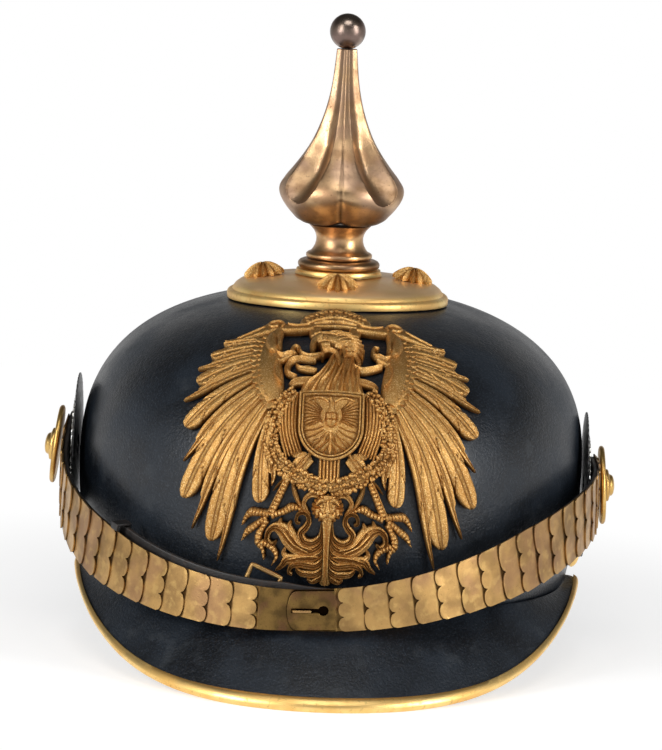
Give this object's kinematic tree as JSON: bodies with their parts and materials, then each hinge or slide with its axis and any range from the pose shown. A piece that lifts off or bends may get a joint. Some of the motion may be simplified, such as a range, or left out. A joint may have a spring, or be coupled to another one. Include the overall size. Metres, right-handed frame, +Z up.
{
  "type": "spiked helmet",
  "caption": "Spiked parade helmet of black leather with front and rear visors, a fluted spike, an eagle plate and a scaled chin strap.",
  "frame": {"origin": "centre of the bounding box's footprint, on the surface that both visor edges rest on", "axes": "+Z up along the spike, the front visor and the eagle plate face -Y, +X is the viewer's right from the front"},
  "size_m": [0.2038, 0.284, 0.2211],
  "materials": {
    "black_leather": "black lacquered leather with a fine pebble grain and a soft shine",
    "strap_leather": "thin black-brown strap leather, matt",
    "gilt": "frosted gilding on die-struck brass, bright on the raised edges",
    "satin_gold": "satin gilt brass with a bright burnished rim",
    "aged_brass": "aged gilt brass with olive and brown toning",
    "toned_brass": "toned bronze-brown gilding, golden in the flutes",
    "tarnished_silver": "tarnished grey-brown polished metal",
    "black_paint": "black paint on pressed metal, half gloss",
    "silver": "pale silvered metal"
  },
  "bodies": {
    "root": {"skull": "black_leather", "front_visor": "black_leather", "visor_trim": "satin_gold", "rear_visor": "black_leather", "rear_spine": "satin_gold", "base_plate": "satin_gold", "star_stud_front": "gilt", "star_stud_right": "gilt", "star_stud_rear": "gilt", "star_stud_left": "gilt", "spike_collar": "satin_gold", "spike_neck": "toned_brass", "fluted_spike": "toned_brass", "spike_ball": "tarnished_silver", "eagle_plate": "gilt", "strap_leather_left": "strap_leather", "chin_scales_left": "aged_brass", "strap_leather_right": "strap_leather", "chin_scales_right": "aged_brass", "clasp_plate": "aged_brass", "clasp_tongue": "aged_brass", "clasp_hook": "aged_brass", "adjusting_strap": "strap_leather", "strap_keeper": "strap_leather", "adjusting_buckle": "aged_brass", "cockade_left": "black_paint", "cockade_ring_left": "silver", "rosette_left": "aged_brass", "rosette_boss_left": "satin_gold", "trim_stud_left": "satin_gold", "cockade_right": "black_paint", "cockade_ring_right": "silver", "rosette_right": "aged_brass", "rosette_boss_right": "satin_gold", "trim_stud_right": "satin_gold"}
  },
  "joints": []
}
